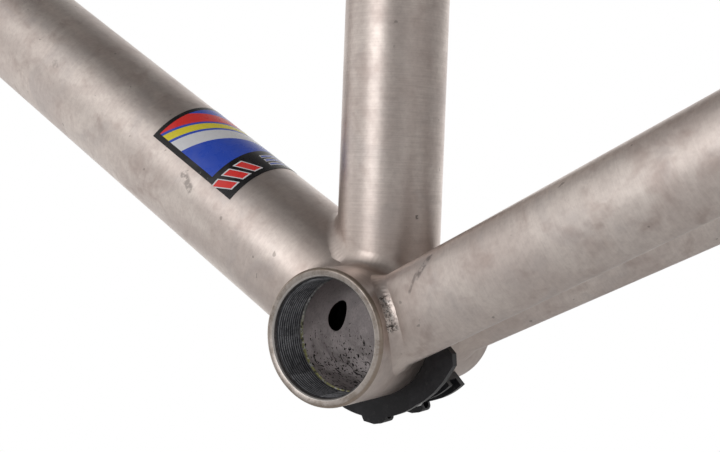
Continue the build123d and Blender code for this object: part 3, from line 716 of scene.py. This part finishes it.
def build_welds():
    smooth_mat = titanium("titanium_weld", (0, 1, 0), brush=0.2, stain=0.6)
    bare = weld_metal("weld_bare")
    pitted = titanium("titanium_weld_pitted", (0, 1, 0), brush=0.2, stain=0.6, pitted=True)
    shell = cylinder(ORIGIN, LEFT, SHELL_R)
    seat = cylinder(ORIGIN, SEAT_UP, SEAT_R)
    down = cylinder(ORIGIN, DOWN_WAY, DOWN_R)
    head = cylinder(HEAD_TOP, SEAT_UP, HEAD_R)
    round_bead("weld_seat_tube", ORIGIN, SEAT_UP, SEAT_R, either(shell, down), [smooth_mat],
               width=5.2, foot=4.2, ripple=0.03, pitch=1.2, reach=75.0, ease=150, soft=80)
    round_bead("weld_down_tube", ORIGIN, DOWN_WAY, DOWN_R, shell, [smooth_mat],
               width=5.0, foot=4.0, ripple=0.03, pitch=1.2, first=DOWN_START, ease=30, soft=30)
    for name, sign, mat in (("left", 1, pitted), ("right", -1, smooth_mat)):
        way = STAY_WAY if sign > 0 else mirrored(STAY_WAY)
        root = STAY_ROOT if sign > 0 else mirrored(STAY_ROOT)
        side = np.cross(way, STAY_UP)
        tube = oval(root, way, STAY_UP, side, STAY_A, STAY_B)
        bead("weld_chainstay_" + name, tube, root, way, STAY_UP, side, STAY_A, STAY_B,
             either(shell, seat), [mat], width=2.9, foot=2.5, lift=0.75, ripple=0.08, pitch=1.3,
             ease=10)
    meet = ORIGIN + DOWN_WAY * DOWN_MEET
    round_bead("weld_down_tube_head", meet, -DOWN_WAY, DOWN_R, head, [bare],
               width=3.2, lift=0.6, ripple=0.14, pitch=1.6, fine=0.32)
    round_bead("weld_top_tube_head", TOP_FRONT, TOP_REAR - TOP_FRONT, TOP_R, head, [bare],
               width=3.0, lift=0.6, ripple=0.14, pitch=1.6, fine=0.32, first=0)
    round_bead("weld_top_tube_seat", TOP_REAR, TOP_FRONT - TOP_REAR, TOP_R, seat, [bare],
               width=3.0, lift=0.6, ripple=0.14, pitch=1.6, fine=0.32, first=0)
    top_flat = SEAT_UP * SEATSTAY_JOINS_SEAT
    back = unit(AXLE - top_flat)
    for name, sign in (("left", 1), ("right", -1)):
        top = top_flat + LEFT * SEATSTAY_TOP_Y * sign
        foot = AXLE - back * SEATSTAY_END_GAP + LEFT * SEATSTAY_FOOT_Y * sign
        round_bead("weld_seatstay_" + name, top, foot - top, SEATSTAY_R, seat, [bare], width=2.2,
                   lift=0.5, ripple=0.1, pitch=1.3, fine=0.3, first=2.0, reach=60)
        flat_run = np.linalg.norm((foot - top)[[0, 2]])
        share = (np.linalg.norm(AXLE - top_flat) - BRAKE_BRIDGE_AT) / flat_run
        seatstay = cylinder(top, unit(foot - top), SEATSTAY_R)
        middle = top + share * (foot - top)
        round_bead("weld_brake_bridge_" + name, middle, -LEFT * sign, SEATSTAY_R, seatstay, [bare],
                   width=1.6, lift=0.35, ripple=0.08, pitch=1.1, fine=0.25, reach=20)
        way = STAY_WAY if sign > 0 else mirrored(STAY_WAY)
        root = STAY_ROOT if sign > 0 else mirrored(STAY_ROOT)
        stay = oval(root, way, STAY_UP, np.cross(way, STAY_UP), STAY_A, STAY_B)
        round_bead("weld_stay_bridge_" + name, root + way * STAY_BRIDGE_AT, -LEFT * sign,
                   STAY_BRIDGE_R, stay, [bare], width=1.5, lift=0.35, ripple=0.08, pitch=1.1,
                   fine=0.25, reach=20)
        round_bead("weld_shifter_boss_" + name, DOWN_WAY * SHIFTER_AT, LEFT * sign, SHIFTER_R,
                   down, [bare], width=0.8, foot=1.4, lift=0.25, ripple=0.06, pitch=1.0, fine=0.2,
                   first=5, reach=30)
    for name, base, out, tube in (
        ("down_low", DOWN_WAY * DOWN_BOSS_AT, DOWN_OVER, down),
        ("down_high", DOWN_WAY * (DOWN_BOSS_AT + BOSS_GAP), DOWN_OVER, down),
        ("seat_low", SEAT_UP * SEAT_BOSS_AT, SEAT_FRONT, seat),
        ("seat_high", SEAT_UP * (SEAT_BOSS_AT + BOSS_GAP), SEAT_FRONT, seat),
    ):
        round_bead("weld_boss_" + name, base, out, BOSS_R, tube, [bare], width=0.7, foot=1.3,
                   lift=0.2, ripple=0.05, pitch=0.9, fine=0.15, first=5, reach=30)


# ---------------------------------------------------------------- looks of the CAD pieces
def softened(node, width, slot_name, mat, angle=32):
    """Rounds a CAD piece's sharp edges a little and gives it its material."""
    obj = NODES[node]
    weld = obj.modifiers.new("weld", "WELD")
    weld.merge_threshold = 0.000002
    rounding = obj.modifiers.new("rounding", "BEVEL")
    rounding.width = width * MM
    rounding.segments = 2
    rounding.limit_method = "ANGLE"
    rounding.angle_limit = math.radians(angle)
    rounding.use_clamp_overlap = True
    rounding.harden_normals = False
    shading = obj.modifiers.new("shading", "WEIGHTED_NORMAL")
    shading.keep_sharp = True
    shading.weight = 80
    painted(node, slot_name, mat)


def painted(node, slot_name, mat):
    obj = NODES[node]
    obj.data.materials.clear()
    obj.data.materials.append(mat)
    for polygon in obj.data.polygons:
        polygon.material_index = 0


def dress_frame():
    down_marks = [
        ((49.8, 20.3, 60.0), (0.3, 0.0, 1.0), 9.0, 1.9, 0.55),
        ((50.9, 20.2, 61.3), (0.2, 0.0, 1.0), 6.0, 0.8, 0.5),
        ((100.0, 19.9, 117.6), (0.1, 0.0, 1.0), 4.0, 1.6, 0.3),
    ]
    seat_marks = [
        ((-23.7, 7.4, 29.2), (0.0, 0.0, 1.0), 1.4, 0.7, 0.7),
    ]
    stay_marks = [
        ((-34.3, 28.0, 13.0), (-0.62, -0.08, 0.78), 10.5, 1.3, 0.65),
        ((-30.0, 28.9, 9.0), (-0.5, -0.1, 0.85), 7.0, 0.7, 0.5),
    ]
    down = titanium("titanium_down_tube", DOWN_WAY, brush=0.55, stain=0.6, marks=down_marks)
    seat = titanium("titanium_seat_tube", SEAT_UP, brush=1.5, stain=0.45, marks=seat_marks)
    stay = titanium("titanium_chainstay", STAY_WAY, STAY_ROOT, brush=0.5, stain=0.7,
                    marks=stay_marks)
    stay_right = titanium("titanium_chainstay_right", mirrored(STAY_WAY), mirrored(STAY_ROOT),
                          brush=0.5, stain=0.7)
    top = titanium("titanium_top_tube", TOP_FRONT - TOP_REAR, TOP_REAR, brush=0.8)
    other = titanium("titanium_other", SEAT_UP, brush=0.9)
    back = titanium("titanium_seatstay", (-0.6, 0.1, -0.8), brush=0.7)
    for node, mat in (
        ("down_tube", down),
        ("seat_tube", seat),
        ("chainstay_left", stay),
        ("chainstay_right", stay_right),
        ("top_tube", top),
        ("seatstay_left", back),
        ("seatstay_right", back),
        ("seatpost_sleeve", other),
    ):
        painted(node, "titanium", mat)
    across = titanium("titanium_bridge", LEFT, brush=0.7)
    cut = plain_metal("titanium_plate", (0.62, 0.56, 0.51), 0.34, axis=(1, 0, 0.3))
    for node, width, mat in (
        ("head_tube", 0.4, other),
        ("dropout_left", 0.5, cut),
        ("dropout_right", 0.5, cut),
        ("brake_bridge", 0.3, across),
        ("brake_bolt_boss", 0.5, across),
        ("chainstay_bridge", 0.3, across),
        ("bottle_bosses", 0.35, cut),
        ("shifter_bosses", 0.35, cut),
        ("brake_cable_stops", 0.35, cut),
        ("derailleur_cable_stop", 0.35, cut),
    ):
        softened(node, width, "titanium", mat)
    black = plastic("guide_black")
    softened("cable_guide", 0.7, "guide_plastic", black)
    for side in ("left", "right"):
        softened("adjuster_knob_" + side, 0.25, "knob_plastic", black)
    steel = plain_metal("steel", (0.60, 0.60, 0.61), 0.3)
    silver = plain_metal("silver", (0.70, 0.70, 0.71), 0.36)
    for node in ("cable_guide_screw", "cable_stop_bolts", "seat_collar_bolt",
                 "adjuster_barrel_left", "adjuster_barrel_right"):
        softened(node, 0.2, "screw_steel", steel)
    softened("seat_collar", 0.6, "collar_aluminium", silver)
    softened("cable_stop_left", 0.5, "stop_aluminium", silver)
    softened("cable_stop_right", 0.5, "stop_aluminium", silver)
    painted("down_tube_decal", "decal_film", decal_film("decal_print"))


# ---------------------------------------------------------------- camera
def make_camera():
    """Camera low on the rider's left, behind the shell and looking slightly up at it."""
    yaw, pitch, roll = math.radians(32.47), math.radians(-7.56), math.radians(-12.16)
    ahead = Vector(
        (math.sin(yaw) * math.cos(pitch), -math.cos(yaw) * math.cos(pitch), -math.sin(pitch))
    )
    level = ahead.cross(Vector((0, 0, 1))).normalized()
    above = level.cross(ahead)
    right = math.cos(roll) * level + math.sin(roll) * above
    up = -math.sin(roll) * level + math.cos(roll) * above
    data = bpy.data.cameras.new("camera")
    data.sensor_width = 36.0
    data.lens = 54.85
    data.clip_start, data.clip_end = 0.01, 50.0
    cam = bpy.data.objects.new("camera", data)
    bpy.context.scene.collection.objects.link(cam)
    turn = Matrix((right, up, -ahead)).transposed()
    cam.matrix_world = Matrix.Translation((-0.1817, 0.2874, -0.0124)) @ turn.to_4x4()
    bpy.context.scene.camera = cam


# ---------------------------------------------------------------- light
def direction(azimuth, elevation):
    """Unit vector. Azimuth 0 is on the rider's left and 90 in front."""
    a, e = math.radians(azimuth), math.radians(elevation)
    return Vector((math.sin(a) * math.cos(e), math.cos(a) * math.cos(e), math.sin(e)))


def softbox(name, azimuth, elevation, distance, width, height, radiance, colour=(1, 1, 1)):
    """Rectangular light aimed at the shell, as bright as radiance in a reflection."""
    way = direction(azimuth, elevation)
    data = bpy.data.lights.new(name, "AREA")
    data.shape = "RECTANGLE"
    data.size, data.size_y = width, height
    data.energy = math.pi * width * height * radiance
    data.color = colour
    lamp = bpy.data.objects.new(name, data)
    lamp.location = way * distance
    lamp.rotation_mode = "QUATERNION"
    lamp.rotation_quaternion = way.to_track_quat("Z", "Y")
    lamp.visible_camera = False
    bpy.context.scene.collection.objects.link(lamp)


def make_world():
    """Soft studio surround: white to the eye, grey and uneven in reflections."""
    world = bpy.data.worlds.new("studio")
    bpy.context.scene.world = world
    world.use_nodes = True
    tree = world.node_tree
    tree.nodes.clear()
    new, link = tree.nodes.new, tree.links.new

    def calc(kind, a, b=0.0, c=0.0):
        node = new("ShaderNodeMath")
        node.operation = kind
        for socket, value in zip(node.inputs, (a, b, c)):
            if isinstance(value, bpy.types.NodeSocket):
                link(value, socket)
            else:
                socket.default_value = value
        return node.outputs[0]

    coord = new("ShaderNodeTexCoord")

    def towards(way):
        node = new("ShaderNodeVectorMath")
        node.operation = "DOT_PRODUCT"
        link(coord.outputs["Generated"], node.inputs[0])
        node.inputs[1].default_value = way
        return node.outputs["Value"]

    height = towards((0, 0, 1))
    level = new("ShaderNodeMapRange")
    level.interpolation_type = "SMOOTHSTEP"
    link(height, level.inputs["Value"])
    for key, value in (("From Min", -0.2), ("From Max", 0.75), ("To Min", 0.35), ("To Max", 0.06)):
        level.inputs[key].default_value = value
    total = level.outputs[0]
    for azimuth, elevation, spread, strength in GLOWS:
        sharp = 1.0 / math.radians(spread) ** 2
        lobe = calc("EXPONENT", calc("MULTIPLY_ADD", towards(direction(azimuth, elevation)),
                                     sharp, -sharp))
        total = calc("MULTIPLY_ADD", lobe, strength, total)
    out = new("ShaderNodeOutputWorld")
    mix = new("ShaderNodeMixShader")
    path = new("ShaderNodeLightPath")
    white = new("ShaderNodeBackground")
    soft = new("ShaderNodeBackground")
    white.inputs[0].default_value = (1, 1, 1, 1)
    soft.inputs[0].default_value = (1, 0.985, 0.97, 1)
    link(total, soft.inputs[1])
    link(path.outputs["Is Camera Ray"], mix.inputs[0])
    link(soft.outputs[0], mix.inputs[1])
    link(white.outputs[0], mix.inputs[2])
    link(mix.outputs[0], out.inputs[0])


# Lit areas of the studio: azimuth, elevation, spread in degrees and strength
BACK_WALL = (155, 10, 30, 1.2)
FRONT_WALL = (75, 20, 20, 0.7)
OVERHEAD = (10, 35, 18, 1.1)
REAR_FILL = (285, -10, 15, 0.4)
FLOOR_BOUNCE = (45, -30, 15, 0.4)
GLOWS = (BACK_WALL, FRONT_WALL, OVERHEAD, REAR_FILL, FLOOR_BOUNCE)


def make_floor():
    """Plain pale floor, well below the shell, as under a frame held in a stand."""
    turn = np.linspace(0, 2 * math.pi, 64, endpoint=False)
    ring = [(FLOOR_R * math.cos(t), FLOOR_R * math.sin(t), FLOOR_Z) for t in turn]
    s = Shade("floor")
    grain = s.noise(3, detail=3)
    s.bump(grain, 0.05)
    colour = s.mix(s.step(s.noise(120, detail=3), 0.3, 0.7), (0.93, 0.93, 0.93), (0.90, 0.90, 0.90))
    floor = mesh_object("floor", ring, [list(range(64))], [s.done(colour, 0.7)])


make_camera()
make_world()
make_floor()
softbox("key", 8, 13, 1.6, 0.8, 0.7, 1.75)
bpy.context.scene.view_settings.view_transform = "Standard"

dress_frame()
shell_outer = titanium("titanium_shell", LEFT, brush=0.9, stain=0.6)
# black walls for the holes in the shell: painted shade
hole_shade_fill = plastic("hole_painted_shade", (0.004, 0.004, 0.004))
shell = build_shell(shell_outer, [
    shell_outer, machined("machined_mouth"), thread_metal("thread"), residue_metal("thread_end"),
    bore_metal("bore"), hole_shade_fill,
])
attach(shell, "frame")
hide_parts("bottom_bracket_shell")
build_welds()
